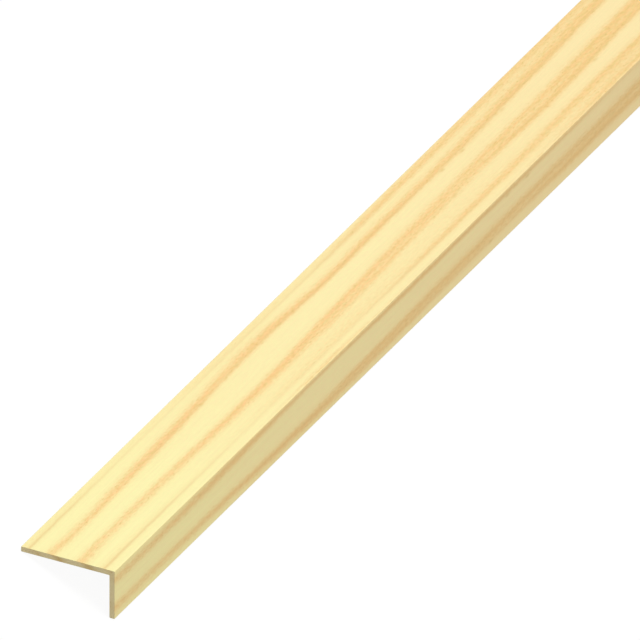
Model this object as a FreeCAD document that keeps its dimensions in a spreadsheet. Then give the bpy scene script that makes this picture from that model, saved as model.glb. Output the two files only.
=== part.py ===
"""Unequal-leg corner guard moulding, one length of thin pine angle.

The section is an L of one wall thickness: a wide leg, a narrow leg square to
it, and long edges eased by sanding. The stock lies as it comes to rest on a
level floor, on the tips of both legs with its outer corner uppermost.

Frame: origin at mid-length, on the floor, halfway across what the stock covers.
+X runs along the length, +Y towards the wide leg's tip, +Z up. Millimetres.
"""
import FreeCAD, Part
import Sketcher

import os

# Driving dimensions: name, millimetres, meaning
DIMENSIONS = [
    ("wide_leg", 40.0, "outside width of the wide leg, from corner to tip"),
    ("narrow_leg", 21.0, "outside width of the narrow leg, from corner to tip"),
    ("wall", 2.25, "thickness of both legs"),
    ("stock_length", 2400.0, "length that the stock is sold in"),
    ("corner_radius", 0.4, "easing of the outer corner"),
    ("tip_radius", 0.3, "easing of both edges of each leg's tip"),
    ("root_radius", 0.3, "hollow that the cutter leaves in the inner corner"),
]

# Two points closer than this, in millimetres, are the same point
SAME_POINT = 1e-6

# Slope of the wide leg once the inner edges of both tips rest on the floor
LEAN = "atan((dims.narrow_leg - dims.wall) / (dims.wide_leg - dims.wall))"

# Height of the outer corner's sharp point above the floor at that slope
APEX_HEIGHT = (
    f"(dims.wide_leg - dims.tip_radius) * sin({LEAN})"
    f" + (dims.wall - dims.tip_radius) * cos({LEAN}) + dims.tip_radius"
)

# How far the stock reaches sideways from that point, on the side of each leg
WIDE_REACH = (
    f"(dims.wide_leg - dims.tip_radius) * cos({LEAN})"
    f" - dims.tip_radius * sin({LEAN}) + dims.tip_radius"
)
NARROW_REACH = (
    f"(dims.narrow_leg - dims.tip_radius) * sin({LEAN})"
    f" - dims.tip_radius * cos({LEAN}) + dims.tip_radius"
)

# The stock turned down about its length by the slope, centred and set on the floor
LAID_ON_FLOOR = (
    f"placement(vector(0; ({NARROW_REACH} - ({WIDE_REACH})) / 2; {APEX_HEIGHT});"
    f" rotation(vector(-1; 0; 0); {LEAN}))"
)


def fill_sheet(doc):
    """The sheet that holds every driving dimension under its own name."""
    sheet = doc.addObject("Spreadsheet::Sheet", "dims")
    for row, (name, millimetres, meaning) in enumerate(DIMENSIONS, start=1):
        sheet.set(f"A{row}", str(millimetres))
        sheet.setAlias(f"A{row}", name)
        sheet.set(f"B{row}", meaning)
    doc.recompute()
    return sheet


def draw_section(body, dims):
    """The L outline: outer corner at the origin, wide leg along +Y, narrow leg down."""
    sketch = body.newObject("Sketcher::SketchObject", "section")
    plane = next(item for item in body.Origin.OriginFeatures if item.Role == "YZ_Plane")
    sketch.AttachmentSupport = (plane, "")
    sketch.MapMode = "FlatFace"

    wide, narrow, wall = dims.wide_leg, dims.narrow_leg, dims.wall
    corners = [(0, 0), (wide, 0), (wide, -wall), (wall, -wall), (wall, -narrow), (0, -narrow)]
    points = [FreeCAD.Vector(across, up, 0) for across, up in corners]
    next_points = points[1:] + points[:1]
    sides = [sketch.addGeometry(Part.LineSegment(*pair)) for pair in zip(points, next_points)]
    wide_face, wide_tip, wide_back, narrow_back, narrow_tip, narrow_face = sides

    start, end, sketch_origin = 1, 2, -1
    for side, following in zip(sides, sides[1:] + sides[:1]):
        sketch.addConstraint(Sketcher.Constraint("Coincident", side, end, following, start))
    for side in (wide_face, wide_back, narrow_tip):
        sketch.addConstraint(Sketcher.Constraint("Horizontal", side))
    for side in (wide_tip, narrow_back, narrow_face):
        sketch.addConstraint(Sketcher.Constraint("Vertical", side))
    sketch.addConstraint(Sketcher.Constraint("Coincident", wide_face, start, sketch_origin, start))

    measures = [
        (wide_face, "DistanceX", start, end, "wide_leg"),
        (wide_tip, "DistanceY", end, start, "wall"),
        (narrow_tip, "DistanceX", end, start, "wall"),
        (narrow_face, "DistanceY", start, end, "narrow_leg"),
    ]
    for side, direction, low, high, name in measures:
        size = getattr(dims, name)
        index = sketch.addConstraint(Sketcher.Constraint(direction, side, low, side, high, size))
        sketch.setExpression(f"Constraints[{index}]", f"dims.{name}")
    return sketch


def run_section(body, section):
    """The section run out along the length, evenly to both sides of mid-length."""
    stock = body.newObject("PartDesign::Pad", "stock")
    stock.Profile = section
    stock.SideType = "Symmetric"
    stock.setExpression("Length", "dims.stock_length")
    body.Document.recompute()
    return stock


def edges_through(shape, spots):
    """Names of the lengthwise edges that cross mid-length at the given (y, z) spots."""
    crossings = [FreeCAD.Vector(0, across, up) for across, up in spots]
    return [
        f"Edge{number}"
        for number, edge in enumerate(shape.Edges, start=1)
        if any(edge.CenterOfMass.isEqual(crossing, SAME_POINT) for crossing in crossings)
    ]


def ease_edges(body, stock, name, spots, radius):
    """One named radius along the lengthwise edges at the given spots of the section."""
    eased = body.newObject("PartDesign::Fillet", name)
    eased.Base = (stock, edges_through(stock.Shape, spots))
    eased.setExpression("Radius", f"dims.{radius}")
    body.Document.recompute()
    return eased


def make_corner_guard(doc, dims):
    """The whole moulding, laid on the tips of its two legs."""
    body = doc.addObject("PartDesign::Body", "corner_guard")
    body.Label = "corner_guard"
    wide, narrow, wall = dims.wide_leg, dims.narrow_leg, dims.wall
    outer_corner, inner_corner = [(0, 0)], [(wall, -wall)]
    leg_tips = [(wide, 0), (wide, -wall), (wall, -narrow), (0, -narrow)]

    stock = run_section(body, draw_section(body, dims))
    stock = ease_edges(body, stock, "eased_corner", outer_corner, "corner_radius")
    stock = ease_edges(body, stock, "eased_tips", leg_tips, "tip_radius")
    ease_edges(body, stock, "cutter_root", inner_corner, "root_radius")
    body.setExpression("Placement", LAID_ON_FLOOR)
    doc.recompute()
    return body


def check(doc, pieces):
    """Stops the build where an object has failed or a piece has no valid solid."""
    for item in doc.Objects:
        if {"Invalid", "Error"} & set(item.State):
            raise RuntimeError(f"{item.Name} failed: {item.State}")
    for piece in pieces:
        if piece.Shape.isNull() or not piece.Shape.isValid():
            raise RuntimeError(f"{piece.Label} has no valid shape")


doc = FreeCAD.newDocument("corner_guard_moulding")
dims = fill_sheet(doc)
pieces = [make_corner_guard(doc, dims)]
check(doc, pieces)

os.makedirs("parts", exist_ok=True)
for piece in pieces:
    piece.Shape.exportStep(f"parts/{piece.Label}.step")
    box = piece.Shape.BoundBox
    print(f"{piece.Label}: {box.XLength:.2f} x {box.YLength:.2f} x {box.ZLength:.2f} mm,"
          f" {piece.Shape.Volume:.0f} mm3")
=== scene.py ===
"""Looks of a thin pine corner guard moulding, built around its packed solid.

One strip of planed pine with an L section lies on the tips of its two legs. The strip is an outline carried
along its length, with the growth rings held in attributes of its mesh, and it wears two finishes: planed
faces and sawn ends. Everything is in metres in the part's own frame: +X along the length, +Y to the wide
leg's tip, +Z up.
"""

import math

import bpy
import numpy as np
from bpy.props import FloatProperty, FloatVectorProperty, IntProperty, PointerProperty
from mathutils import Matrix, Vector


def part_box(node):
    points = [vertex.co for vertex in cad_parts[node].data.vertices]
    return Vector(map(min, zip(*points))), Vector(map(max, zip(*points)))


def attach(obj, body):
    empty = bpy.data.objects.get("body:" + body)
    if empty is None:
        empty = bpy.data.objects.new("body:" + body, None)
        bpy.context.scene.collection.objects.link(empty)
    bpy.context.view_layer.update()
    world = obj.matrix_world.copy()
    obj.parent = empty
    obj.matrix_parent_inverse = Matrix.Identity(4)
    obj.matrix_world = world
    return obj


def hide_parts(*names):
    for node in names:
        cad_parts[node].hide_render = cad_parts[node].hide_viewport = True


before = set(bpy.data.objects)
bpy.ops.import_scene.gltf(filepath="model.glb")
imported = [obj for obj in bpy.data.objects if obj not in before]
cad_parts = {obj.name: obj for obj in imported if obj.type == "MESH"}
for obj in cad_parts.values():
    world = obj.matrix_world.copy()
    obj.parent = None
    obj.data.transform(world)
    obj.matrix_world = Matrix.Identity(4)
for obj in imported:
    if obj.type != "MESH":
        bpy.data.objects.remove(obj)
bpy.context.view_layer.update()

bl_info = {
    "name": "Pine corner guard moulding",
    "version": (1, 0, 0),
    "blender": (4, 5, 0),
    "location": "View3D > Sidebar > Corner Guard",
    "description": "A thin pine moulding with an L section, its growth rings and a plain studio",
    "category": "Add Mesh",
}

MM = 0.001
NODE = "corner_guard"
BODY = "root"
PIECE = "corner_guard_strip"

NODE_LOW, NODE_HIGH = (np.array(corner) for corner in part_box(NODE))
LENGTH = float(NODE_HIGH[0] - NODE_LOW[0])
# How far the strip's box may lie from its solid's box
PLACE_TOLERANCE = 0.2 * MM

# Cells of the strip's mesh: on each arris, across each leg, across each tip and on the rounded saw cut
TIP_CELLS = 2
CORNER_CELLS = 6
WIDE_CELLS = 64
NARROW_CELLS = 33
TIP_FLAT_CELLS = 5
SAW_CELLS = 3
# Stations along each quarter of the length. The quarters are the rows of the bake map
STATIONS_IN_QUARTER = (120, 76, 76, 76)
# Shares of the bake map: what is left clear round each part, and the row that the two sawn ends take
MAP_MARGIN = 0.004
END_ROW = 0.08

# Growth rings, followed up to 470 mm from the near end and made up past it. Each row is one place
# along a ring: how far it is from the near end, how far the ring lies from the outer corner, how far it
# fades on the side away from the corner and on the side towards it, and how dark it is. All but the
# darkness are in millimetres.
WIDE_FACE_RINGS = (
    ((0, 38.3, 2.0, 1.3, 0.17), (110, 38.3, 2.0, 1.4, 0.12), (160, 38.3, 2.0, 1.6, 0.26),
     (235, 37.6, 2.0, 1.2, 0.14), (250, 37.0, 1.5, 1.2, 0.34), (265, 36.9, 1.35, 1.1, 0.76),
     (290, 37.2, 1.7, 1.3, 0.85), (315, 37.4, 1.7, 1.4, 0.82), (340, 37.5, 2.2, 1.6, 0.8),
     (390, 38.4, 2.6, 2.3, 0.74), (435, 39.0, 2.6, 2.4, 0.82), (450, 39.2, 2.6, 2.2, 0.72),
     (470, 39.2, 2.6, 2.2, 0.72), (600, 37.4, 1.9, 1.2, 0.8), (1000, 37.0, 1.7, 1.1, 0.9),
     (1400, 35.8, 1.8, 1.2, 0.8), (1800, 34.6, 1.7, 1.1, 0.9), (2400, 33.0, 1.8, 1.2, 0.85)),
    ((415, 35.0, 1.4, 1.4, 0.0), (423, 34.8, 1.4, 1.3, 0.15), (434, 35.0, 1.2, 1.5, 0.5),
     (447, 34.9, 1.1, 1.8, 0.72), (470, 34.9, 1.1, 1.8, 0.72), (600, 33.0, 1.2, 1.0, 0.0)),
    ((0, 27.8, 1.7, 1.8, 0.84), (9, 26.9, 1.7, 1.7, 0.7), (20, 26.5, 1.7, 1.5, 0.76),
     (40, 26.9, 1.7, 1.4, 0.85), (65, 27.7, 2.3, 1.6, 0.88), (90, 28.2, 2.1, 1.6, 1.0),
     (115, 29.1, 2.0, 1.5, 1.05), (140, 30.2, 2.1, 1.4, 0.9), (165, 30.5, 2.9, 1.3, 0.88),
     (190, 30.6, 2.1, 1.3, 1.1), (215, 29.2, 1.8, 1.1, 1.05), (240, 29.0, 1.8, 1.1, 1.05),
     (265, 29.7, 1.9, 1.3, 1.0), (290, 29.7, 1.9, 1.1, 0.95), (340, 30.2, 1.9, 1.7, 0.9),
     (365, 30.5, 2.5, 1.5, 0.87), (390, 31.1, 2.5, 1.3, 1.1), (415, 31.4, 3.2, 1.5, 0.98),
     (447, 32.9, 2.4, 1.3, 0.98), (470, 33.2, 2.4, 1.3, 0.98), (600, 29.7, 2.2, 1.1, 0.95),
     (1000, 28.0, 1.9, 1.0, 1.0), (1400, 27.4, 1.7, 1.0, 0.9), (1800, 25.8, 1.6, 1.0, 0.85),
     (2400, 24.0, 1.9, 1.1, 0.95)),
    ((0, 14.5, 1.7, 2.2, 0.84), (9, 14.9, 1.8, 2.2, 0.78), (18, 15.3, 1.5, 1.9, 0.64),
     (90, 15.1, 1.4, 1.9, 0.82), (115, 14.4, 1.5, 2.0, 0.88), (165, 14.4, 1.6, 2.1, 1.05),
     (190, 15.9, 1.4, 1.5, 0.88), (215, 16.7, 1.3, 1.3, 1.05), (240, 17.2, 1.3, 1.5, 0.98),
     (265, 17.7, 1.8, 1.6, 0.88), (290, 17.4, 2.4, 1.6, 0.86), (315, 19.3, 1.6, 1.5, 0.62),
     (343, 19.1, 1.8, 1.7, 0.97), (365, 19.6, 1.9, 1.8, 0.72), (390, 19.8, 1.8, 2.0, 0.86),
     (415, 20.6, 1.9, 2.3, 0.92), (435, 20.8, 1.9, 2.4, 0.92), (446, 21.6, 1.7, 2.6, 0.95),
     (456, 22.0, 1.6, 2.8, 1.05), (470, 22.0, 1.6, 2.8, 1.05), (600, 20.2, 1.8, 1.2, 0.8),
     (1000, 19.7, 1.5, 1.0, 0.9), (1400, 19.4, 1.4, 0.9, 0.75), (1800, 17.5, 1.5, 1.0, 0.9),
     (2400, 15.5, 1.8, 1.1, 0.9)),
    ((160, 13.2, 1.0, 1.2, 0.0), (190, 13.7, 1.3, 1.9, 0.72), (240, 14.2, 1.3, 1.5, 0.85),
     (265, 15.0, 1.3, 1.3, 0.68), (290, 16.0, 1.5, 1.9, 0.65), (315, 16.9, 1.5, 1.9, 0.7),
     (340, 16.2, 1.2, 1.4, 0.8), (360, 16.1, 1.5, 1.3, 1.05), (377, 15.5, 1.5, 1.5, 1.0),
     (390, 16.2, 1.5, 1.4, 0.95), (413, 16.6, 1.9, 1.6, 1.1), (435, 17.7, 1.9, 1.4, 0.9),
     (447, 17.7, 1.9, 1.2, 0.98), (457, 18.0, 1.9, 1.2, 1.2), (470, 18.0, 1.9, 1.2, 1.2),
     (600, 16.0, 1.4, 1.0, 0.85), (1000, 13.2, 1.6, 1.1, 0.9), (1400, 14.2, 1.3, 0.9, 0.8),
     (1800, 12.5, 1.3, 1.0, 0.6), (2400, 11.0, 1.4, 1.0, 0.7)),
    ((0, 5.4, 1.6, 1.2, 0.18), (50, 5.4, 1.6, 1.2, 0.1), (110, 5.6, 2.6, 1.4, 0.1),
     (165, 5.4, 2.0, 1.2, 0.28), (200, 5.6, 2.2, 1.4, 0.2), (235, 5.5, 2.0, 1.3, 0.14),
     (250, 5.2, 1.3, 1.1, 0.3), (265, 4.9, 1.15, 1.0, 0.63), (290, 5.3, 1.4, 1.1, 0.8),
     (340, 5.7, 1.6, 1.6, 0.86), (390, 7.0, 1.6, 2.1, 0.84), (415, 7.1, 1.6, 2.3, 0.9),
     (600, 6.7, 1.5, 1.3, 0.8), (1000, 5.7, 1.4, 1.0, 0.85), (1400, 6.2, 1.4, 1.0, 0.8),
     (1800, 4.0, 1.4, 1.0, 0.85), (2400, 1.5, 1.5, 1.0, 0.9)),
    ((130, 8.3, 3.0, 3.0, 0.0), (215, 8.3, 3.5, 3.0, 0.17), (300, 9.5, 3.5, 3.5, 0.16),
     (345, 9.5, 3.0, 3.0, 0.08), (370, 9.5, 3.0, 3.0, 0.03), (600, 10.0, 3.0, 3.0, 0.0)),
    ((120, -1.0, 1.0, 1.0, 0.0), (145, -0.4, 1.5, 1.0, 0.4), (165, -0.2, 1.6, 1.0, 0.75),
     (190, -0.2, 1.5, 1.0, 0.72), (210, -0.6, 1.2, 1.0, 0.4), (270, -0.6, 1.0, 1.0, 0.15),
     (340, -0.6, 1.6, 1.0, 0.35), (365, -0.2, 2.2, 1.0, 0.45), (390, 0.4, 2.7, 1.0, 0.75),
     (415, 1.0, 2.8, 1.0, 0.85), (600, 0.7, 2.0, 1.0, 0.6), (1000, -1.0, 1.5, 1.0, 0.4),
     (1400, -0.6, 1.4, 1.0, 0.5), (2400, -2.5, 1.5, 1.0, 0.6)),
    ((0, 48.0, 1.7, 1.2, 0.85), (1000, 46.0, 1.7, 1.2, 0.85), (1800, 42.0, 1.8, 1.1, 0.8),
     (2400, 40.0, 1.7, 1.2, 0.85)),
)
NARROW_FACE_RINGS = (
    ((0, 3.8, 1.7, 2.0, 0.74), (12, 4.4, 1.6, 2.0, 0.72), (65, 3.4, 1.9, 2.1, 0.84),
     (90, 2.9, 1.8, 2.1, 1.0), (115, 2.2, 1.4, 1.6, 0.92), (140, 1.9, 1.1, 1.1, 0.72),
     (165, 1.5, 0.8, 1.1, 0.6), (190, 1.5, 0.7, 1.0, 0.66), (215, 2.0, 0.9, 1.0, 0.92),
     (240, 2.1, 1.1, 1.0, 0.92), (290, 1.7, 0.9, 1.0, 0.92), (340, 1.6, 1.0, 1.1, 0.76),
     (390, 1.1, 1.1, 1.3, 0.45), (410, 1.1, 1.1, 1.3, 0.2), (470, 1.1, 1.1, 1.3, 0.2),
     (600, 2.2, 1.2, 1.2, 0.8), (1000, 3.2, 1.5, 1.3, 0.9), (1400, 2.6, 1.3, 1.1, 0.85),
     (1800, 4.0, 1.4, 1.2, 0.9), (2400, 5.5, 1.5, 1.3, 0.8)),
    ((0, 16.1, 2.2, 1.7, 0.78), (9, 15.9, 2.2, 1.6, 0.74), (18, 15.9, 2.0, 1.7, 0.62),
     (90, 16.0, 1.8, 1.7, 0.85), (115, 16.6, 1.9, 1.7, 0.88), (165, 16.8, 2.0, 1.9, 1.02),
     (190, 17.3, 1.6, 1.6, 0.72), (240, 16.5, 1.4, 1.4, 0.82), (265, 15.6, 1.5, 1.4, 0.62),
     (290, 15.0, 1.6, 1.4, 0.68), (315, 14.7, 1.7, 1.4, 0.55), (340, 14.5, 1.4, 1.3, 0.78),
     (365, 14.8, 1.7, 1.4, 0.98), (405, 14.1, 1.5, 1.7, 1.0), (415, 14.4, 1.6, 1.8, 1.0),
     (470, 14.4, 1.6, 1.8, 1.0), (600, 15.2, 1.4, 1.2, 0.85), (1000, 14.4, 1.5, 1.2, 0.95),
     (1400, 15.8, 1.3, 1.1, 0.8), (2400, 14.0, 1.6, 1.3, 0.9)),
    ((165, 14.6, 1.0, 1.2, 0.0), (190, 15.0, 1.3, 1.4, 0.88), (215, 14.3, 1.4, 1.4, 0.88),
     (265, 13.5, 1.3, 1.9, 0.88), (290, 13.3, 1.5, 2.2, 0.8), (315, 12.4, 1.5, 2.1, 0.82),
     (340, 11.6, 1.3, 1.6, 0.86), (365, 11.3, 1.7, 2.2, 0.78), (390, 11.1, 1.6, 1.9, 0.88),
     (403, 10.9, 1.6, 2.1, 0.93), (413, 10.4, 1.6, 2.1, 0.96), (470, 10.4, 1.6, 2.1, 0.96),
     (600, 10.4, 1.4, 1.5, 0.85), (1000, 9.0, 1.3, 1.2, 0.7), (1400, 10.6, 1.4, 1.1, 0.85),
     (2400, 8.5, 1.4, 1.3, 0.75)),
    ((0, 25.0, 1.5, 1.3, 0.8), (900, 23.0, 1.5, 1.3, 0.8), (1300, 20.5, 1.4, 1.2, 0.8),
     (2400, 21.5, 1.5, 1.3, 0.8)),
)
# Crisp thin lines among the rings, three on each face, followed and made up like them: how far from the
# near end and from the corner, and how dark
WIDE_FACE_LINES = (
    ((0, 36.6, 0.64), (20, 36.6, 0.6), (70, 36.5, 0.21), (135, 36.6, 0.16), (165, 36.9, 0.22),
     (215, 36.6, 0.24), (232, 36.5, 0.42), (250, 36.5, 0.46), (300, 36.4, 0.0), (325, 16.0, 0.0),
     (345, 15.8, 0.15), (360, 16.1, 0.35), (375, 15.6, 0.32), (390, 16.0, 0.32), (413, 16.2, 0.3),
     (425, 16.9, 0.3), (447, 17.3, 0.28), (470, 17.5, 0.4), (600, 15.3, 0.3), (1000, 12.4, 0.45),
     (1400, 13.5, 0.3), (1800, 11.8, 0.4), (2400, 10.3, 0.3)),
    ((0, 4.5, 0.66), (45, 4.6, 0.44), (115, 4.5, 0.13), (215, 4.7, 0.2), (232, 4.6, 0.44), (250, 4.5, 0.5),
     (340, 5.0, 0.0), (500, 36.5, 0.0), (600, 36.6, 0.3), (1000, 36.2, 0.35), (1400, 35.0, 0.25),
     (2400, 32.2, 0.35)),
    ((55, 26.9, 0.0), (95, 27.6, 0.25), (150, 29.7, 0.3), (175, 29.9, 0.4), (195, 29.8, 0.45),
     (212, 29.0, 0.6), (236, 28.8, 0.7), (259, 29.4, 0.45), (282, 29.2, 0.7), (306, 29.1, 0.45),
     (340, 29.3, 0.4), (376, 30.2, 0.6), (395, 30.9, 0.6), (415, 31.0, 0.45), (447, 32.3, 0.4),
     (470, 32.5, 0.4), (600, 28.9, 0.5), (1000, 27.3, 0.6), (1400, 26.7, 0.4), (1800, 25.1, 0.5),
     (2400, 23.2, 0.5)),
)
NARROW_FACE_LINES = (
    ((90, 1.3, 0.0), (120, 1.5, 0.4), (215, 1.8, 0.55), (300, 1.8, 0.55), (365, 1.5, 0.4),
     (405, 1.2, 0.15), (600, 1.3, 0.4), (1000, 2.2, 0.45), (1400, 1.7, 0.4), (2400, 4.4, 0.4)),
    ((0, 16.4, 0.0), (150, 16.7, 0.15), (180, 17.0, 0.2), (230, 16.9, 0.25), (365, 15.1, 0.25),
     (405, 14.6, 0.3), (600, 14.4, 0.3), (1000, 13.5, 0.4), (1400, 15.0, 0.3), (2400, 13.0, 0.4)),
    ((170, 14.9, 0.0), (200, 14.8, 0.25), (240, 14.0, 0.15), (340, 11.8, 0.25), (405, 11.2, 0.15),
     (600, 9.5, 0.3), (1000, 8.2, 0.3), (1400, 9.8, 0.3), (2400, 7.6, 0.3)),
)
# The larger marks of resin, and how long, wide and deep one is. Each row is one mark: how far it is from
# the near end, how far across and up from the outer corner, all in millimetres, and how dark it is
RESIN_MARKS = ((335, 28.0, 0, 0.46), (319, 28.0, 0, 0.42), (190, 29.7, 0, 0.3), (124, 28.2, 0, 0.2),
               (305, 15.1, 0, 0.36), (369, 28.6, 0, 0.28), (350, 18.4, 0, 0.28), (418, 14.8, 0, 0.4),
               (335, 0, -3.1, 0.4), (319, 0, -3.1, 0.36), (305, 0, -16.2, 0.36), (191, 0, -1.3, 0.3))
RESIN_MARK_SIZE = (3.0, 1.15, 1.15)
# How far the pale wood has turned orange, as distance from the near end and share
WARMTH_ALONG = ((0, 0.05), (65, 0.10), (100, 0.32), (150, 0.47), (240, 0.63), (340, 0.83), (430, 0.98))

# In mm: the length of wood that the figure was followed on, over how much the rings then start to wander
# and the warmth changes, how far the rings' bends are rounded, how far apart the rings are worked out, and
# how soft the two legs' rings meet
FOLLOWED = 470.0
CHANGE_OVER = 90.0
WARMTH_CHANGE_OVER = 360.0
BEND_EASING = 9.0
RING_STEP = 2.0
MITRE_BLEND = 1.2
# How many easings the bell that rounds a bend reaches to each side
BELL_REACH = 4
# How far the rings of the wide leg bend to the corner under its face, and how deep they do so, in mm
LEAN = 4.0
LEAN_DEPTH = 0.35
# How far from a crisp line its distance is told, and how wide each of the three lines is, in mm
LINE_REACH = 4.0
LINE_WIDTHS = (0.95, 0.95, 0.6)

# Slow waves, as (size, length) pairs in mm, that move all rings of a face, one ring, or one line
SWAY = ((1.3, 830.0), (0.8, 370.0))
RING_STRAY = ((0.7, 520.0), (0.35, 230.0), (0.12, 90.0))
RING_RIPPLE = ((0.10, 23.0), (0.07, 11.0))
LINE_STRAY = ((0.5, 520.0), (0.25, 190.0))
LINE_RIPPLE = ((0.06, 19.0), (0.04, 8.0))
# In these the sizes are shares: of a ring's width, of the darkness that it loses, of a line's darkness, of
# the warmth, and of the spread in the corner's sanding
RING_SWELL = ((0.25, 520.0), (0.15, 190.0))
RING_FADE = ((0.22, 690.0), (0.15, 240.0))
LINE_SWELL = ((0.7, 330.0), (0.4, 120.0))
WARMTH_SWAY = ((0.22, 740.0), (0.14, 310.0))
SANDING = ((0.45, 310.0), (0.3, 97.0), (0.25, 41.0))
# Their middles, and the limits that they are held in
FADE_MIDDLE = 0.15
FADE_MOST = 0.75
LINE_SWELL_MOST = 1.5
WARMTH_MIDDLE = 0.62
WARMTH_LEAST = 0.1

# Noises in the wood: how long, wide and deep a grain of each is, in millimetres, and its detail
FIBRES = ((34.0, 0.42, 0.42), 3.0)
TEETH = ((2.8, 0.9, 0.9), 2.0)
STREAKS = ((150.0, 1.7, 1.7), 2.0)
MOTTLE = ((1.8, 0.9, 0.9), 3.0)
PATCHES = ((4.5, 1.3, 1.3), 2.0)
SPECKS = ((2.2, 0.75, 0.75), 1.0)
SAW_MARKS = ((50.0, 0.22, 3.0), 2.0)
PORES = ((2.0, 0.16, 0.16), 1.0)
GRAIN_ROUGHNESS = 0.55
# What they sway: a ring's darkness, a line's place in mm, the turn to orange, and how light the wood is
FRAY_BY_TEETH = 0.95
FRAY_BY_FIBRES = 0.26
STREAKED_BY = 0.30
STREAKED_MORE = 0.02
LINE_FRAY = 0.7
TURNED_BY_MOTTLE = 1.1
TURNED_BY_PATCHES = 0.7
SHADE_BY_FIBRES = 0.10
SHADE_IN_WOOD = 0.09
SHADE_IN_RINGS = 0.14
# Ranges that a value is carried from and to: how fraying grows with a ring's darkness, what frayed rings
# are held in, how patches and warmth brown them, how specks become flecks and rings hold them, how the
# legs part at the corner, and how much darker a sawn end is along its rim
FRAYED = ((0.0, 0.3), (0.0, 1.0))
RINGS_HELD_IN = ((-0.02, 1.0), (0.0, 1.0))
BROWN_PATCHES = ((0.42, 0.66), (0.0, 0.8))
BROWN_WHERE_WARM = ((0.6, 1.0), (0.0, 0.30))
FLECKED = ((0.59, 0.74), (0.0, 0.42))
FLECKED_IN_RINGS = ((0.1, 0.6), (0.08, 1.0))
LEG_CHANGE = ((-0.3, 0.3), (1.0, 0.0))
SAWN_RIM_DARKENING = ((0.0, 0.5), (0.07, 0.0))
# How far rings stand proud beside the fibres' 1, and the roughness of the planed faces: its middle, what
# the fibres sway it by and how much smoother rings are
RING_RELIEF = 0.5
PLANED_ROUGHNESS = 0.64
ROUGHER_FIBRES = 0.08
SMOOTHER_RINGS = 0.10
# Sawn ends: what rings lose on the narrow leg, what saw marks count beside the pores, and the shade and
# the roughness that the two make together, as slope and base
SAWN_RING_LOSS = 0.75
SAW_MARK_SHARE = 0.6
SAWN_SHADE = (0.16, 0.87)
SAWN_ROUGHNESS = (0.15, 0.70)

# Sockets of the figure's group
FIGURE_SOCKETS = (
    ("INPUT", "NodeSocketVector", ("Position", "Lines", "Line Depths")),
    ("INPUT", "NodeSocketFloat", ("Rings", "Warmth", "Contrast", "Brown")),
    ("INPUT", "NodeSocketColor", ("Pale Wood", "Warm Wood", "Orange Ring", "Brown Ring", "Line", "Fleck")),
    ("OUTPUT", "NodeSocketColor", ("Color",)),
    ("OUTPUT", "NodeSocketFloat", ("Height", "Roughness")),
)
# The mesh's attributes that the figure reads, and the output that gives each
FIELDS = {"rings": "Fac", "warmth": "Fac", "lines": "Vector", "line_depths": "Vector"}
# Where a Mix node has its sockets for colours, and how far apart nodes are laid out
MIX_INPUTS = (0, 6, 7)
MIX_OUTPUT = 2
COLUMN_STEP = 200
ROW_STEP = 240

# The floor: its size, how far it lies under the piece, its roughness, and the strength of its white, which
# comes to just over 1 with what the light gives the rest of it
FLOOR_SIZE = 20.0
FLOOR_GAP = 0.0001
FLOOR_ROUGHNESS = 0.9
FLOOR_WHITE = 1.05
# The view: how high the camera stands over the wide face, how far it is turned from the length, how far
# it stands off, how far the near end's outer corner is left of and below the picture's middle, and how
# near and far the camera sees
VIEW_RISE = math.radians(30.906)
VIEW_TURN = math.radians(62.243)
STAND_OFF = 3.0
CORNER_LEFT = 0.07762
CORNER_BELOW = 0.09509
NEAREST = 0.01
FARTHEST = 100.0


def follow(distances, rows):
    """The numbers of a ring's or line's rows at each distance: straight lines between the rows, averaged
    with a bell, exp(-(offset / BEND_EASING)^2 / 2), so that the ring bends and never kinks."""
    rows = np.array(rows, float)
    margin = BELL_REACH * BEND_EASING
    even = np.arange(-margin, LENGTH / MM + margin, RING_STEP)
    offsets = np.arange(-round(margin / RING_STEP), round(margin / RING_STEP) + 1) * RING_STEP
    bell = np.exp(-0.5 * (offsets / BEND_EASING) ** 2)
    bell /= bell.sum()
    curves = []
    for column in rows.T[1:]:
        line = np.pad(np.interp(even, rows[:, 0], column), len(offsets) // 2, mode="edge")
        curves.append(np.interp(distances, even, np.convolve(line, bell, mode="valid")))
    return curves


def wander(distances, random, waves):
    """A slow wave: the sum over (size, length) of size x sin(2 pi (distance / length + a random share))."""
    total = np.zeros_like(distances)
    for size, length in waves:
        total += size * np.sin(2 * math.pi * (distances / length + random.random()))
    return total


def made_up(distances):
    """How far the figure is made up and not followed: 0, then 3 t^2 - 2 t^3 over CHANGE_OVER, then 1."""
    past = np.clip((distances - FOLLOWED) / CHANGE_OVER, 0.0, 1.0)
    return past * past * (3 - 2 * past)


def sway(distances, seed):
    """How far all rings and lines of one face stray together past the followed part: a slow wave."""
    return made_up(distances) * wander(distances, np.random.default_rng(seed), SWAY)


def ring_darkness(distances, heights, rings, together, random):
    """How dark the rings make the wood at each distance and height on one face, from 0 to 1.

    One ring darkens by depth x 2^-((height - centre) / reach)^2, with its own reach on each side of its
    centre, and all of them by 1 - the product of (1 - each). Past the followed part each ring wanders."""
    past = made_up(distances)
    light = np.ones_like(heights)
    for rows in rings:
        centre, away, towards, depth = follow(distances, rows)
        alone = past * wander(distances, random, RING_STRAY)
        ripple = wander(distances, random, RING_RIPPLE)
        swell = 1 + past * wander(distances, random, RING_SWELL)
        fade = past * np.clip(FADE_MIDDLE + wander(distances, random, RING_FADE), 0.0, FADE_MOST)
        offset = heights - (centre + ripple + together + alone)
        reach = np.where(offset > 0, away, towards) * swell
        light = light * (1 - np.clip(depth * (1 - fade), 0.0, 1.0) * 0.5 ** ((offset / reach) ** 2))
    return 1 - light


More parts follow.
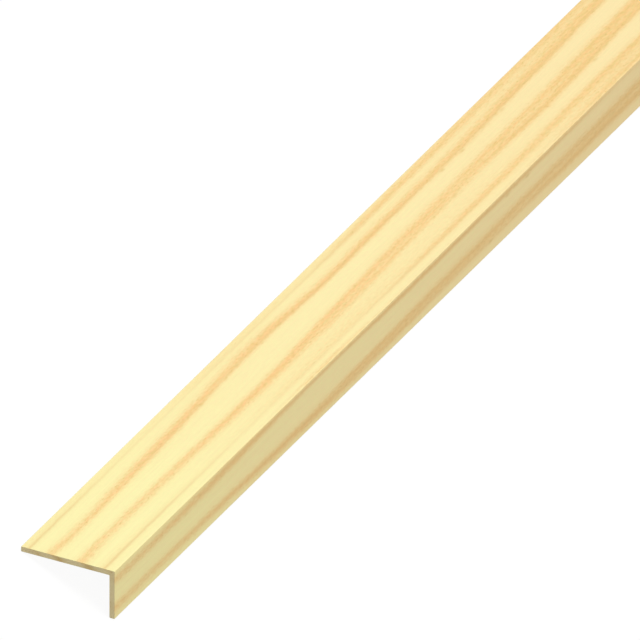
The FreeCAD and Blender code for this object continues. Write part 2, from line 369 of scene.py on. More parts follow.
def ring_heights(across, under):
    """Where a point of the section reads the rings of the wide face and those of the narrow face, in mm.

    The wide leg's rings are read at across + lean(under), where lean(t) = LEAN (1 - exp(-t / LEAN_DEPTH)),
    because they bend to the corner just under the face. The narrow leg's are read at under + across / 2."""
    return across + LEAN * (1 - np.exp(-under / LEAN_DEPTH)), under + across / 2


def ring_field(distances, across, under, seed):
    """Darkness of the rings at any point: distances along, across and under the outer corner, in mm.

    Each leg's rings are read at ring_heights. The two sets meet on the mitre between the legs."""
    random = np.random.default_rng(seed)
    on_wide, on_narrow = ring_heights(across, under)
    wide = ring_darkness(distances, on_wide, WIDE_FACE_RINGS, sway(distances, seed), random)
    narrow = ring_darkness(distances, on_narrow, NARROW_FACE_RINGS, sway(distances, seed + 1), random)
    share = np.clip(0.5 + (across - under) / MITRE_BLEND, 0.0, 1.0)
    return wide * share + narrow * (1 - share)


def line_field(distances, across, under, seed):
    """Signed distances to the three crisp lines of a point's face, in mm, and how dark each line is.

    Points are read as in ring_field, and sway with its rings. Past the followed part the lines come and go
    as a slow wave of darkness."""
    random = np.random.default_rng(seed + 3)
    past = made_up(distances)
    on_wide = across > under
    together = np.where(on_wide, sway(distances, seed), sway(distances, seed + 1))
    wide_height, narrow_height = ring_heights(across, under)
    offsets, depths = [], []
    for wide_rows, narrow_rows in zip(WIDE_FACE_LINES, NARROW_FACE_LINES):
        alone = past * wander(distances, random, LINE_STRAY)
        ripple = wander(distances, random, LINE_RIPPLE)
        swell = np.clip(1 + past * wander(distances, random, LINE_SWELL), 0.0, LINE_SWELL_MOST)
        wide_centre, wide_depth = follow(distances, wide_rows)
        narrow_centre, narrow_depth = follow(distances, narrow_rows)
        offset = np.where(on_wide, wide_height - wide_centre, narrow_height - narrow_centre)
        offsets.append(np.clip(offset - together - alone - ripple, -LINE_REACH, LINE_REACH))
        depths.append(np.where(on_wide, wide_depth, narrow_depth) * swell)
    return np.stack(offsets, 1), np.stack(depths, 1)


def rim_field(across, under, sizes):
    """How far in from the L's border a point lies, in mm: its least distance to the faces and tips."""
    outer = np.minimum(across, under)
    to_tips = np.minimum(sizes.wide_leg / MM - across, sizes.narrow_leg / MM - under)
    return np.minimum(np.minimum(outer, sizes.wall / MM - outer), to_tips)


def warmth_field(distances, seed):
    """How far the pale wood turns orange: straight lines between WARMTH_ALONG's rows, then a slow wave."""
    random = np.random.default_rng(seed)
    past = np.clip((distances - FOLLOWED) / WARMTH_CHANGE_OVER, 0.0, 1.0)
    later = np.clip(WARMTH_MIDDLE + wander(distances, random, WARMTH_SWAY), WARMTH_LEAST, 1.0)
    followed = np.interp(distances, *zip(*WARMTH_ALONG))
    return followed * (1 - past) + later * past


def arc(centre, radius, start, end, cells):
    """Points and normals on an arc: centre + radius x (cos t, sin t), t from start to end in degrees."""
    turn = np.radians(np.linspace(start, end, cells + 1))
    outward = np.stack([np.cos(turn), np.sin(turn)], 1)
    return np.array(centre) + radius * outward, outward


def between(start, end, normal, cells):
    """The points strictly between two others on their line, (1 - t) start + t end, and their normals."""
    share = np.linspace(0.0, 1.0, cells + 1)[1:-1, None]
    points = np.array(start) * (1 - share) + np.array(end) * share
    return points, np.tile(np.array(normal, float), (len(points), 1))


def joined(*runs):
    """Runs of points and their normals, put end to end."""
    return tuple(np.concatenate(parts) for parts in zip(*runs))


def section_outline(sizes, corner):
    """The L as an outer path, an inner path of equally many points, and the two tips that join them.

    Each is straight lines between arcs of the edge radii, from the wide leg's tip to the narrow leg's tip,
    in metres across and up from the sharp outer corner. The outer corner's radius is given by itself."""
    wide, narrow, wall, tip = sizes.wide_leg, sizes.narrow_leg, sizes.wall, sizes.tip_easing
    root = wall + sizes.root_hollow
    hollow, into_hollow = arc((root, -root), sizes.root_hollow, 90, 180, CORNER_CELLS)

    def eased(across, up, start, end):
        return arc((across, up), tip, start, end, TIP_CELLS)

    outer = joined(
        eased(wide - tip, -tip, 45, 90),
        between((wide - tip, 0), (corner, 0), (0, 1), WIDE_CELLS),
        arc((corner, -corner), corner, 90, 180, CORNER_CELLS),
        between((0, -corner), (0, tip - narrow), (-1, 0), NARROW_CELLS),
        eased(tip, tip - narrow, 180, 225),
    )
    inner = joined(
        eased(wide - tip, tip - wall, -45, -90),
        between((wide - tip, -wall), (root, -wall), (0, -1), WIDE_CELLS),
        (hollow, -into_hollow),
        between((wall, -root), (wall, tip - narrow), (1, 0), NARROW_CELLS),
        eased(wall - tip, tip - narrow, 0, -45),
    )
    wide_tip = joined(
        eased(wide - tip, -tip, 45, 0),
        between((wide, -tip), (wide, tip - wall), (1, 0), TIP_FLAT_CELLS),
        eased(wide - tip, tip - wall, 0, -45),
    )
    narrow_tip = joined(
        eased(tip, tip - narrow, 225, 270),
        between((tip, -narrow), (wall - tip, -narrow), (0, -1), TIP_FLAT_CELLS),
        eased(wall - tip, tip - narrow, 270, 315),
    )
    return outer, inner, wide_tip, narrow_tip


def closed_loop(outer, inner, wide_tip, narrow_tip):
    """The outline as one loop: the outer path, narrow tip, inner path backwards and wide tip backwards."""
    return np.concatenate([outer, narrow_tip[1:-1], inner[::-1], wide_tip[-2:0:-1]])


def loop_numbers(long_count, tip_count):
    """Where the points of the outer path, inner path, wide tip and narrow tip stand in the closed loop."""
    outer = np.arange(long_count)
    narrow_tip = np.arange(long_count - 1, long_count + tip_count - 1)
    inner = np.arange(narrow_tip[-1], narrow_tip[-1] + long_count)[::-1]
    wide_tip = np.append(np.arange(inner[0], inner[0] + tip_count - 1), 0)[::-1]
    return outer, inner, wide_tip, narrow_tip


def stations(length, easing):
    """Distance, inset and lean of the normal at each station. The saw cut is rounded off at both ends with
    distance = e (1 - cos t), inset = e (1 - sin t) and lean cos t, for t from 0 to a right angle."""
    turn = np.radians(np.linspace(0.0, 90.0, SAW_CELLS + 1))[:-1]
    quarters = np.append(0, np.cumsum(STATIONS_IN_QUARTER))
    middle = np.interp(np.arange(quarters[-1] + 1), quarters, np.linspace(0.0, length, len(quarters)))
    middle[0], middle[-1] = easing, length - easing
    cut, level = easing * (1 - np.cos(turn)), np.zeros(len(middle))
    distance = np.concatenate([cut, middle, length - cut[::-1]])
    inset = np.concatenate([easing * (1 - np.sin(turn)), level, easing * (1 - np.sin(turn[::-1]))])
    lean = np.concatenate([-np.cos(turn), level, np.cos(turn[::-1])])
    return distance, inset, lean


def cells_of(grid):
    """The four corners of each cell of a grid, in order round the cell."""
    return np.stack([grid[:-1, :-1], grid[1:, :-1], grid[1:, 1:], grid[:-1, 1:]], 2)


def strip_arrays(sizes, seed):
    """The strip's points, normals, quads, corner UVs and which faces are sawn.

    A point is base(loop) + wear(distance) x give(loop) - inset x normal(loop): wear is how far the sanding
    of the outer corner strays from its mean, and give is how a point there moves with it. Each sawn end is
    a grid, (1 - s) outer + s inner, whose border is the loop."""
    outline = section_outline(sizes, sizes.corner_easing)
    softer = section_outline(sizes, sizes.corner_easing + sizes.easing_spread)
    base = closed_loop(*[points for points, _ in outline])
    normal = closed_loop(*[normals for _, normals in outline])
    give = closed_loop(*[points for points, _ in softer]) - base
    long_count, tip_count = len(outline[0][0]), len(outline[2][0])
    outer, inner, wide_tip, narrow_tip = loop_numbers(long_count, tip_count)

    distance, inset, lean = stations(LENGTH, sizes.saw_easing)
    wear = wander(distance / MM, np.random.default_rng(seed), SANDING)
    shape = (len(distance), len(base))
    side = np.empty(shape + (3,))
    side[..., 0] = distance[:, None]
    side[..., 1:] = base + wear[:, None, None] * give - inset[:, None, None] * normal
    side_normal = np.empty(shape + (3,))
    side_normal[..., 0] = lean[:, None]
    side_normal[..., 1:] = normal * np.sqrt(1 - lean ** 2)[:, None, None]

    ids = np.arange(shape[0] * shape[1]).reshape(shape)
    turned = np.roll(ids, -1, axis=1)
    side_faces = np.stack([ids[:-1], turned[:-1], turned[1:], ids[1:]], 2).reshape(-1, 4)
    points, normals = [side.reshape(-1, 3)], [side_normal.reshape(-1, 3)]
    faces, uvs = [side_faces], [row_uvs(base, distance, inner)]
    for end, station in enumerate((0, shape[0] - 1)):
        rim = side[station]
        share = (rim[wide_tip, 2] - rim[outer[0], 2]) / (rim[inner[0], 2] - rim[outer[0], 2])
        across = share[None, 1:-1, None]
        inside = rim[outer[1:-1], None] * (1 - across) + rim[inner[1:-1], None] * across
        count = inside[..., 0].size
        grid = np.empty((long_count, tip_count), int)
        grid[:, 0], grid[:, -1] = ids[station, outer], ids[station, inner]
        grid[0], grid[-1] = ids[station, wide_tip], ids[station, narrow_tip]
        grid[1:-1, 1:-1] = sum(map(len, points)) + np.arange(count).reshape(inside.shape[:2])
        quads, quad_uvs = cells_of(grid), end_uvs(rim[outer], share, end)
        if end == 0:
            quads, quad_uvs = quads[..., ::-1], quad_uvs[..., ::-1, :]
        points.append(inside.reshape(-1, 3))
        normals.append(np.tile((np.sign(lean[station]), 0.0, 0.0), (count, 1)))
        faces.append(quads.reshape(-1, 4))
        uvs.append(quad_uvs.reshape(-1, 4, 2))
    sawn = np.arange(sum(map(len, faces))) >= len(side_faces)
    return tuple(np.concatenate(parts) for parts in (points, normals, faces, uvs)) + (sawn,)


def row_uvs(base, distance, inner):
    """UVs of the long faces: each quarter of the length is a row of the map, as wide as the map, and its
    height is the way round the outline, cut open at the root. So one image holds the grain sharply."""
    steps = np.linalg.norm(np.roll(base, -1, axis=0) - base, axis=1)
    round_way = np.append(0.0, np.cumsum(steps))
    seam = inner[TIP_CELLS + WIDE_CELLS + CORNER_CELLS // 2]
    start = (round_way[:-1] - round_way[seam]) % round_way[-1]
    low, high = start / round_way[-1], (start + steps) / round_way[-1]
    middle = (distance[:-1] + distance[1:]) / 2
    rows = len(STATIONS_IN_QUARTER)
    row = np.minimum((middle / LENGTH * rows).astype(int), rows - 1)
    left, right = distance[:-1] / LENGTH * rows - row, distance[1:] / LENGTH * rows - row
    height = (1 - END_ROW) / rows
    u = MAP_MARGIN + (1 - 2 * MAP_MARGIN) * np.stack([left, left, right, right], 1)[:, None, :]
    v_share = np.stack([low, high, high, low], 1)[None]
    v = END_ROW + row[:, None, None] * height + MAP_MARGIN + (height - 2 * MAP_MARGIN) * v_share
    return np.stack(np.broadcast_arrays(u, v), 3).reshape(-1, 4, 2)


def end_uvs(path, share, end):
    """UVs of one sawn end, straightened out: the way along the outer path by the share of the wall."""
    way = np.append(0.0, np.cumsum(np.linalg.norm(np.diff(path, axis=0), axis=1)))
    across = end / 2 + MAP_MARGIN + (0.5 - 2 * MAP_MARGIN) * way / way[-1]
    up = MAP_MARGIN + (END_ROW - 2 * MAP_MARGIN) * share
    return cells_of(np.stack(np.broadcast_arrays(across[:, None], up), 2))


def laid_on_floor(sizes):
    """The turn about the length, and the shift, that lay the section on the inner edges of its tips."""
    wide, narrow, wall, tip = sizes.wide_leg, sizes.narrow_leg, sizes.wall, sizes.tip_easing
    lean = math.atan((narrow - wall) / (wide - wall))
    sine, cosine = math.sin(lean), math.cos(lean)
    height = (wide - tip) * sine + (wall - tip) * cosine + tip
    wide_reach = (wide - tip) * cosine - tip * sine + tip
    narrow_reach = (narrow - tip) * sine - tip * cosine + tip
    return lean, Vector((float(NODE_LOW[0]), (narrow_reach - wide_reach) / 2, height))


def section_to_frame(points, lean, shift=(0.0, 0.0, 0.0)):
    """(x, across, up) turned down about the length: y = across cos + up sin, z = up cos - across sin."""
    sine, cosine = math.sin(lean), math.cos(lean)
    x, across, up = points.T
    return np.stack([x, across * cosine + up * sine, up * cosine - across * sine], 1) + np.array(shift)


def opaque(colour):
    """A colour with full alpha, as a socket holds it."""
    return (*colour, 1.0)


def feed(tree, sockets, values):
    """Give each socket its value, or link it where the value is another socket."""
    for socket, value in zip(sockets, values):
        if isinstance(value, bpy.types.NodeSocket):
            tree.links.new(value, socket)
        else:
            socket.default_value = value


def add_node(tree, kind, **settings):
    """A shader node of that kind. Each setting feeds its socket of that name, with _ for a space, or else
    is set on the node itself."""
    node = tree.nodes.new(f"ShaderNode{kind}")
    for name, value in settings.items():
        socket = name.replace("_", " ")
        if socket in node.inputs:
            feed(tree, [node.inputs[socket]], [value])
        else:
            setattr(node, name, value)
    return node


def number(tree, operation, *values):
    """One sum of a Math node. Each value is a socket or a number."""
    node = add_node(tree, "Math", operation=operation)
    feed(tree, node.inputs, values)
    return node.outputs["Value"]


def vector_sum(tree, operation, *values):
    """One sum of a Vector Math node. Each value is a socket or three numbers."""
    node = add_node(tree, "VectorMath", operation=operation)
    feed(tree, node.inputs, values)
    return node.outputs["Value" if operation in ("LENGTH", "DOT_PRODUCT") else "Vector"]


def swing(tree, noise, share, middle):
    """A noise that swings about a middle: middle + share x (noise - 1/2)."""
    return number(tree, "MULTIPLY_ADD", number(tree, "SUBTRACT", noise, 0.5), share, middle)


def mixed(tree, share, first, second, blend="MIX"):
    """Two colours mixed by a share. Each is a socket or a value."""
    node = add_node(tree, "Mix", data_type="RGBA", blend_type=blend)
    feed(tree, [node.inputs[place] for place in MIX_INPUTS], (share, first, second))
    return node.outputs[MIX_OUTPUT]


def grey(tree, value):
    """A value as a grey colour."""
    node = add_node(tree, "CombineColor")
    feed(tree, node.inputs, (value, value, value))
    return node.outputs["Color"]


def ranged(tree, value, given, wanted=(0.0, 1.0), curve="LINEAR"):
    """A value carried from one range to another, held inside it."""
    node = add_node(tree, "MapRange", interpolation_type=curve, clamp=True, Value=value, From_Min=given[0],
                    From_Max=given[1], To_Min=wanted[0], To_Max=wanted[1])
    return node.outputs["Result"]


def grain(tree, position, size, detail):
    """Noise drawn out to a size in millimetres along, across and through the wood."""
    place = vector_sum(tree, "DIVIDE", position, size)
    noise = add_node(tree, "TexNoise", Vector=place, Scale=1.0, Detail=detail, Roughness=GRAIN_ROUGHNESS)
    return noise.outputs["Fac"]


def arrange(tree):
    """Lay the nodes out in columns, each one column left of the leftmost node that it feeds."""
    columns = {node.name: 0 for node in tree.nodes}
    links = [(link.from_node.name, link.to_node.name) for link in tree.links]
    for _ in columns:
        for source, target in links:
            columns[source] = max(columns[source], columns[target] + 1)
    rows = dict.fromkeys(columns.values(), 0)
    for node in tree.nodes:
        column = columns[node.name]
        node.location = (-COLUMN_STEP * column, -ROW_STEP * rows[column])
        rows[column] += 1


def crisp_lines(group, distances, depths, fray):
    """How dark the thin lines are: the sum of depth / (1 + (distance / width)^2)^2, the distance frayed."""
    one = (1.0, 1.0, 1.0)
    share = vector_sum(group, "DIVIDE", vector_sum(group, "ADD", distances, fray), LINE_WIDTHS)
    base = vector_sum(group, "ADD", vector_sum(group, "MULTIPLY", share, share), one)
    dark = vector_sum(group, "DIVIDE", depths, vector_sum(group, "MULTIPLY", base, base))
    return vector_sum(group, "DOT_PRODUCT", dark, one)


def resin_marks(group, position):
    """How dark the larger marks of resin are: for each, depth x an S-curve that falls from 1 in its middle
    to 0 at its border, |(position - middle) / size| = 1. The darkest one counts."""
    darkest = 0.0
    for *middle, depth in RESIN_MARKS:
        offset = vector_sum(group, "SUBTRACT", position, middle)
        far = vector_sum(group, "LENGTH", vector_sum(group, "DIVIDE", offset, RESIN_MARK_SIZE))
        dark = ranged(group, far, (0.0, 1.0), (depth, 0.0), "SMOOTHSTEP")
        darkest = number(group, "MAXIMUM", dark, darkest)
    return darkest


def pine_figure():
    """The figure of pine for every finish, as a colour, a height and a roughness.

    Long fibres and short teeth of noise fray the rings, streaks darken and lighten them along the length,
    and patches turn them from orange to brown and back. The rings stand a little proud and are smoother,
    as they do once pine has been sanded."""
    group = bpy.data.node_groups.new("pine_figure", "ShaderNodeTree")
    for side, kind, names in FIGURE_SOCKETS:
        for name in names:
            group.interface.new_socket(name, in_out=side, socket_type=kind)
    given = group.nodes.new("NodeGroupInput").outputs
    result = group.nodes.new("NodeGroupOutput").inputs
    position, drawn, warmth, contrast = map(given.get, ("Position", "Rings", "Warmth", "Contrast"))
    noises = (FIBRES, TEETH, STREAKS, MOTTLE, PATCHES, SPECKS)
    fibres, teeth, streaks, mottle, patches, specks = (grain(group, position, *noise) for noise in noises)

    # Rings: frayed where they are, streaked everywhere, then held between none and full
    fray = swing(group, fibres, FRAY_BY_FIBRES, swing(group, teeth, FRAY_BY_TEETH, 0.0))
    frayed = number(group, "MULTIPLY_ADD", fray, ranged(group, drawn, *FRAYED), drawn)
    frayed = number(group, "ADD", frayed, swing(group, streaks, STREAKED_BY, STREAKED_MORE))
    rings = number(group, "MULTIPLY", ranged(group, frayed, *RINGS_HELD_IN), contrast)
    line_fray = swing(group, fibres, LINE_FRAY, swing(group, teeth, LINE_FRAY, 0.0))
    lines = crisp_lines(group, given["Lines"], given["Line Depths"], line_fray)
    lines = number(group, "MULTIPLY", lines, contrast)

    # Colours: pale wood turning orange between the rings, and rings turning brown
    turned = swing(group, patches, TURNED_BY_PATCHES, swing(group, mottle, TURNED_BY_MOTTLE, warmth))
    pale = mixed(group, ranged(group, turned, (0.0, 1.0)), given["Pale Wood"], given["Warm Wood"])
    browned = ranged(group, patches, *BROWN_PATCHES)
    browned = number(group, "ADD", browned, ranged(group, warmth, *BROWN_WHERE_WARM))
    browned = number(group, "MAXIMUM", browned, given["Brown"])
    dark = mixed(group, browned, given["Orange Ring"], given["Brown Ring"])
    wood = mixed(group, rings, pale, dark)
    wood = mixed(group, lines, wood, given["Line"])

    # Small flecks of resin, mostly where the rings are, and the larger marks
    resin = ranged(group, specks, *FLECKED, "SMOOTHSTEP")
    resin = number(group, "MULTIPLY", resin, ranged(group, drawn, *FLECKED_IN_RINGS))
    resin = number(group, "MAXIMUM", resin, resin_marks(group, position))
    wood = mixed(group, resin, wood, given["Fleck"])

    # Mottling and fibres as a slight change of lightness, stronger in the rings
    spread = number(group, "MULTIPLY_ADD", rings, SHADE_IN_RINGS, SHADE_IN_WOOD)
    light = swing(group, fibres, SHADE_BY_FIBRES, swing(group, mottle, spread, 1.0))
    wood = mixed(group, 1.0, wood, grey(group, light), "MULTIPLY")

    height = number(group, "MULTIPLY_ADD", rings, RING_RELIEF, fibres)
    roughness = number(group, "MULTIPLY_ADD", rings, -SMOOTHER_RINGS, PLANED_ROUGHNESS)
    feed(group, result, (wood, height, swing(group, fibres, ROUGHER_FIBRES, roughness)))
    arrange(group)
    return group


def cleared_tree(owner):
    """The emptied node tree of a material or a world."""
    owner.use_nodes = True
    owner.node_tree.nodes.clear()
    return owner.node_tree


def socket_name(field):
    """The name of the figure's socket that a field of the mesh or a setting feeds."""
    return field.replace("_", " ").title()


def wood_material(name, look, sizes, figure):
    """A material and its tree with the pine figure placed in it, the place in mm and the figure's node."""
    material = bpy.data.materials.new(name)
    tree = cleared_tree(material)

    # Millimetres along, across and up from the near end's outer corner
    lean, shift = laid_on_floor(sizes)
    start = -(Matrix.Rotation(lean, 3, "X") @ shift) / MM
    coordinates = add_node(tree, "TexCoord").outputs["Object"]
    mapping = add_node(tree, "Mapping", vector_type="POINT", Vector=coordinates, Location=start,
                       Rotation=(lean, 0.0, 0.0), Scale=(1 / MM, 1 / MM, 1 / MM))
    place = mapping.outputs["Vector"]

    pine = add_node(tree, "Group", node_tree=figure, Position=place, Contrast=look.ring_contrast)
    for field, output in FIELDS.items():
        held = add_node(tree, "Attribute", attribute_name=field)
        tree.links.new(held.outputs[output], pine.inputs[socket_name(field)])
    for setting in ("pale_wood", "warm_wood", "orange_ring", "brown_ring", "line", "fleck"):
        pine.inputs[socket_name(setting)].default_value = opaque(getattr(look, setting))
    return material, tree, place, pine


def finish(tree, colour, roughness, sheen, height, depth):
    """The surface, with its colour, its roughness, its sheen and its relief of that depth."""
    relief = add_node(tree, "Bump", Strength=1.0, Distance=depth, Height=height)
    surface = add_node(tree, "BsdfPrincipled", Base_Color=colour, Roughness=roughness,
                       Specular_IOR_Level=sheen, Normal=relief.outputs["Normal"])
    add_node(tree, "OutputMaterial", Surface=surface.outputs["BSDF"])
    arrange(tree)


def narrow_leg(tree, position):
    """1 on the narrow leg and 0 on the wide one, told by which of the outer faces is the nearer."""
    apart = add_node(tree, "SeparateXYZ", Vector=position).outputs
    return ranged(tree, number(tree, "ADD", apart["Y"], apart["Z"]), *LEG_CHANGE)


def planed_pine(look, sizes, figure):
    """Planed and sanded faces under a thin satin finish."""
    material, tree, position, pine = wood_material("planed_pine", look, sizes, figure)
    narrow = narrow_leg(tree, position)
    tree.links.new(number(tree, "MULTIPLY", narrow, look.narrow_brown), pine.inputs["Brown"])
    # Painted shade: the narrow face's colour is multiplied by a darker, warmer tint
    wood = mixed(tree, narrow, pine.outputs["Color"], opaque(look.narrow_face_painted_shade), "MULTIPLY")
    finish(tree, wood, pine.outputs["Roughness"], look.sheen, pine.outputs["Height"], look.grain_relief)
    return material


def sawn_pine(look, sizes, figure):
    """Sawn ends: open pores, the marks of a fine saw running down the cut, and little gloss."""
    material, tree, position, pine = wood_material("sawn_pine", look, sizes, figure)
    for name in ("Pale Wood", "Warm Wood"):
        pine.inputs[name].default_value = opaque(look.sawn_wood)
    for name in ("Orange Ring", "Brown Ring", "Line"):
        pine.inputs[name].default_value = opaque(look.sawn_ring)
    loss = -SAWN_RING_LOSS * look.ring_contrast
    contrast = number(tree, "MULTIPLY_ADD", narrow_leg(tree, position), loss, look.ring_contrast)
    tree.links.new(contrast, pine.inputs["Contrast"])
    marks, pores = (grain(tree, position, *noise) for noise in (SAW_MARKS, PORES))
    rough = number(tree, "MULTIPLY_ADD", marks, SAW_MARK_SHARE, pores)

    # The sawn end is darker along its border, fading out over half a millimetre
    rim = add_node(tree, "Attribute", attribute_name="rim")
    rim_darkening = ranged(tree, rim.outputs["Fac"], *SAWN_RIM_DARKENING)
    shade = number(tree, "SUBTRACT", number(tree, "MULTIPLY_ADD", rough, *SAWN_SHADE), rim_darkening)
    wood = mixed(tree, 1.0, pine.outputs["Color"], grey(tree, shade), "MULTIPLY")
    roughness = number(tree, "MULTIPLY_ADD", rough, *SAWN_ROUGHNESS)
    finish(tree, wood, roughness, look.sheen / 2, rough, look.saw_relief)
    return material


def linked_object(name, data):
    """A new object in the scene, at the origin, unturned and unscaled."""
    item = bpy.data.objects.new(name, data)
    bpy.context.scene.collection.objects.link(item)
    return item


def add_field(mesh, name, values):
    """Hold one number, or one vector, at each point of the mesh."""
    kind, key = ("FLOAT", "value") if values.ndim == 1 else ("FLOAT_VECTOR", "vector")
    mesh.attributes.new(name, kind, "POINT").data.foreach_set(key, values.astype(np.float32).ravel())


def build_strip(sizes, look):
    """The strip's object: its arrays laid on the floor, put into a mesh and given the two finishes."""
    points, normals, faces, uvs, sawn = strip_arrays(sizes, look.seed + 2)
    along, across, under = points[:, 0] / MM, points[:, 1] / MM, -points[:, 2] / MM
    lean, shift = laid_on_floor(sizes)

    mesh = bpy.data.meshes.new(PIECE)
    mesh.from_pydata(section_to_frame(points, lean, shift), [], faces)
    mesh.polygons.foreach_set("material_index", sawn.astype(np.int32))
    mesh.uv_layers.new(name="OFBake").data.foreach_set("uv", uvs.astype(np.float32).ravel())
    add_field(mesh, "rings", ring_field(along, across, under, look.seed))
    add_field(mesh, "warmth", warmth_field(along, look.seed + 1))
    add_field(mesh, "rim", rim_field(across, under, sizes))
    for name, values in zip(("lines", "line_depths"), line_field(along, across, under, look.seed)):
        add_field(mesh, name, values)
    if mesh.validate():
        raise RuntimeError("the strip's mesh had faults")
    mesh.shade_smooth()
    mesh.normals_split_custom_set_from_vertices(section_to_frame(normals, lean))

    figure = pine_figure()
    for finished in (planed_pine, sawn_pine):
        mesh.materials.append(finished(look, sizes, figure))
    return linked_object(PIECE, mesh)


def size_setting(name, description, default, least=0.0):
    """A length that the user can change, in metres."""
    return FloatProperty(
        name=name, description=description, default=default, min=least, subtype="DISTANCE", precision=5)


def colour_setting(name, description, default):
    """A colour that the user can change."""
    return FloatVectorProperty(
        name=name, description=description, default=default, min=0.0, max=1.0, subtype="COLOR")


def share_setting(name, description, default, most=1.0):
    """A share or a strength that the user can change."""
    return FloatProperty(name=name, description=description, default=default, min=0.0, max=most)


class StripSizes(bpy.types.PropertyGroup):
    """The section of the moulding and the easing of its edges."""

    wide_leg: size_setting("Wide Leg", "Outside width of the wide leg", 0.040, least=0.01)
    narrow_leg: size_setting("Narrow Leg", "Outside width of the narrow leg", 0.021, least=0.008)
    wall: size_setting("Wall", "Thickness of both legs", 0.00225, least=0.001)
    corner_easing: size_setting("Corner Easing", "Radius of the outer corner", 0.0004, least=0.0001)
    easing_spread: size_setting("Easing Spread", "How far the corner's radius strays", 0.00008)
    tip_easing: size_setting("Tip Easing", "Radius of the edges of both tips", 0.0003, least=0.0001)
    root_hollow: size_setting(
        "Root Hollow", "Radius that the cutter leaves in the inner corner", 0.0003, least=0.0001)
    saw_easing: size_setting("Saw Easing", "Radius of the edge round each sawn end", 0.00012, least=0.00002)


class PineLook(bpy.types.PropertyGroup):
    """The colours and the figure of the pine."""

    pale_wood: colour_setting("Pale Wood", "Wood between the rings where it is fresh", (0.965, 0.90, 0.44))
    warm_wood: colour_setting(
        "Warm Wood", "Wood between the rings where it has turned orange", (0.955, 0.785, 0.412))
    orange_ring: colour_setting(
        "Orange Ring", "The dark, late part of a growth ring where it is orange", (0.94, 0.604, 0.257))
    brown_ring: colour_setting(
        "Brown Ring", "The dark, late part of a growth ring where it is brown", (0.832, 0.585, 0.214))
    line: colour_setting("Line", "The thin crisp lines beside the rings", (0.80, 0.55, 0.225))
    fleck: colour_setting("Fleck", "Small flecks of resin in the rings", (0.67, 0.45, 0.125))
    # Painted shade on the narrow face, multiplied into its colour
    narrow_face_painted_shade: colour_setting(
        "Narrow Face Painted Shade", "Painted shade that makes the narrow face darker and warmer", (0.972, 0.932, 0.90))
    narrow_brown: share_setting(
        "Narrow Face Brown", "How brown the narrow face's rings are at least", 0.7)
    sawn_wood: colour_setting("Sawn Wood", "Wood between the rings on a sawn end", (0.915, 0.770, 0.436))
    sawn_ring: colour_setting("Sawn Ring", "Growth rings on a sawn end", (0.75, 0.52, 0.20))
    ring_contrast: share_setting("Ring Contrast", "How dark the rings are", 1.0, most=1.5)
    sheen: share_setting("Sheen", "Strength of the reflections on the planed faces", 0.3)
    grain_relief: size_setting("Grain Relief", "Height of the fibres on the planed faces", 0.00003)
    saw_relief: size_setting("Saw Relief", "Depth of the saw marks", 0.00006)
    seed: IntProperty(
        name="Seed", description="Another wander of the rings where they are made up", default=7, min=0)


class StudioLook(bpy.types.PropertyGroup):
    """The floor, the light and the camera's view."""

    floor_colour: colour_setting("Floor Colour", "Colour of the floor", (0.62, 0.62, 0.62))
    floor_lift: share_setting("Floor Lift", "How far the floor is lifted to white for the camera", 0.9)
    sun_strength: share_setting("Sun Strength", "Strength of the soft light from above", 2.40, most=20.0)
    sun_spread: FloatProperty(
        name="Sun Spread", description="Angle that the light from above covers", default=math.radians(28),
        subtype="ANGLE")
    sky_strength: share_setting("Sky Strength", "Strength of the even light from all round", 0.325)
    view_width: size_setting("View Width", "Width that the camera takes in", 0.2419, least=0.01)


def background_rays(tree):
    """1 for the rays that show the white background: the camera's, and what gloss and glass send on."""
    rays = add_node(tree, "LightPath").outputs
    seen = number(tree, "MAXIMUM", rays["Is Camera Ray"], rays["Is Glossy Ray"])
    return number(tree, "MAXIMUM", seen, rays["Is Transmission Ray"])


def add_floor(look):
    """A level square floor. The camera sees it lifted towards white, with the shadow left in the rest."""
    reach = FLOOR_SIZE / 2
    corners = [(x * reach, y * reach, -FLOOR_GAP) for x, y in ((-1, -1), (1, -1), (1, 1), (-1, 1))]
    mesh = bpy.data.meshes.new("floor")
    mesh.from_pydata(corners, [], [(0, 1, 2, 3)])
    material = bpy.data.materials.new("pale_floor")
    tree = cleared_tree(material)
    paint = add_node(tree, "BsdfPrincipled", Base_Color=opaque(look.floor_colour),
                     Roughness=FLOOR_ROUGHNESS, Specular_IOR_Level=0.0)
    white = add_node(tree, "Emission", Strength=FLOOR_WHITE)
    lift = number(tree, "MULTIPLY", background_rays(tree), look.floor_lift)
    blend = add_node(tree, "MixShader")
    feed(tree, blend.inputs, (lift, paint.outputs["BSDF"], white.outputs["Emission"]))
    add_node(tree, "OutputMaterial", Surface=blend.outputs["Shader"])
    arrange(tree)
    mesh.materials.append(material)
    linked_object("floor", mesh)


def add_light(look):
    """Soft light from straight above, and an even light from all round that the camera sees as white."""
    lamp = bpy.data.lights.new("soft_top_light", "SUN")
    lamp.energy = look.sun_strength
    lamp.angle = look.sun_spread
    linked_object("soft_top_light", lamp)
    world = bpy.data.worlds.new("even_light")
    tree = cleared_tree(world)
    strength = number(tree, "MULTIPLY_ADD", background_rays(tree), 1 - look.sky_strength, look.sky_strength)
    sky = add_node(tree, "Background", Color=opaque((1.0, 1.0, 1.0)), Strength=strength)
    add_node(tree, "OutputWorld", Surface=sky.outputs["Background"])
    arrange(tree)
    bpy.context.scene.world = world


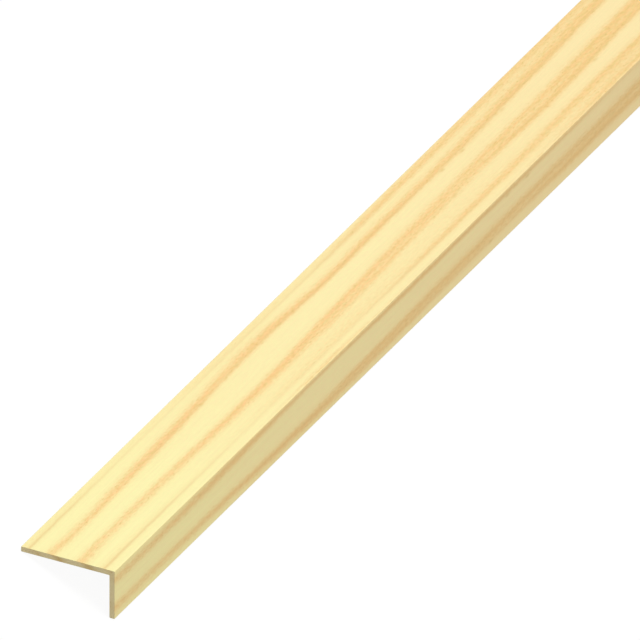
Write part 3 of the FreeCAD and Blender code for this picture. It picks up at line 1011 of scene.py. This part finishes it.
def add_camera(look, sizes):
    """A camera with parallel lines of sight, set to the section as it would lie with its wide face level,
    and turned with it as it lies on the floor."""
    lean, shift = laid_on_floor(sizes)
    rise = Matrix.Rotation(math.pi / 2 - VIEW_RISE, 3, "X")
    turn = Matrix.Rotation(-lean, 3, "X") @ Matrix.Rotation(-VIEW_TURN, 3, "Z") @ rise
    lens = bpy.data.cameras.new("camera")
    lens.type = "ORTHO"
    lens.ortho_scale = look.view_width
    lens.clip_start = NEAREST
    lens.clip_end = FARTHEST
    camera = linked_object("camera", lens)
    place = shift + turn @ Vector((CORNER_LEFT, CORNER_BELOW, STAND_OFF))
    camera.matrix_world = Matrix.Translation(place) @ turn.to_4x4()
    bpy.context.scene.camera = camera


class GUARD_OT_strip(bpy.types.Operator):
    """Build the strip of moulding in place of its plain solid"""

    bl_idname = "guard.strip"
    bl_label = "Strip of Moulding"

    def execute(self, context):
        strip = build_strip(context.scene.guard_sizes, context.scene.guard_pine)
        corners = np.array(strip.bound_box)
        low, high = corners.min(axis=0), corners.max(axis=0)
        if max(abs(low - NODE_LOW).max(), abs(high - NODE_HIGH).max()) > PLACE_TOLERANCE:
            raise RuntimeError(f"the strip from {low} to {high} isn't where its solid is")
        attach(strip, BODY)
        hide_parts(NODE)
        return {"FINISHED"}


class GUARD_OT_studio(bpy.types.Operator):
    """Set the floor, the light and the camera"""

    bl_idname = "guard.studio"
    bl_label = "Studio"

    def execute(self, context):
        look = context.scene.guard_studio
        add_floor(look)
        add_light(look)
        add_camera(look, context.scene.guard_sizes)
        context.scene.view_settings.view_transform = "Standard"
        return {"FINISHED"}


class GUARD_PT_panel(bpy.types.Panel):
    """Corner guard moulding"""

    bl_idname = "GUARD_PT_panel"
    bl_label = "Corner Guard"
    bl_space_type = "VIEW_3D"
    bl_region_type = "UI"
    bl_category = "Corner Guard"

    def draw(self, context):
        for group, settings in SETTINGS.items():
            box = self.layout.box()
            box.label(text=settings.__doc__)
            for name in settings.__annotations__:
                box.prop(getattr(context.scene, group), name)
        for operator in OPERATORS:
            self.layout.operator(operator.bl_idname)


SETTINGS = {"guard_sizes": StripSizes, "guard_pine": PineLook, "guard_studio": StudioLook}
OPERATORS = (GUARD_OT_strip, GUARD_OT_studio)
CLASSES = (*SETTINGS.values(), *OPERATORS, GUARD_PT_panel)


def register():
    """Add the classes and their settings to Blender."""
    for item in CLASSES:
        bpy.utils.register_class(item)
    for name, group in SETTINGS.items():
        setattr(bpy.types.Scene, name, PointerProperty(type=group))


def unregister():
    """Take the settings and the classes away again."""
    for name in SETTINGS:
        delattr(bpy.types.Scene, name)
    for item in reversed(CLASSES):
        bpy.utils.unregister_class(item)


def main():
    """Register the settings, then build the strip and the studio."""
    register()
    bpy.ops.guard.strip()
    bpy.ops.guard.studio()


if __name__ == "__main__":
    main()
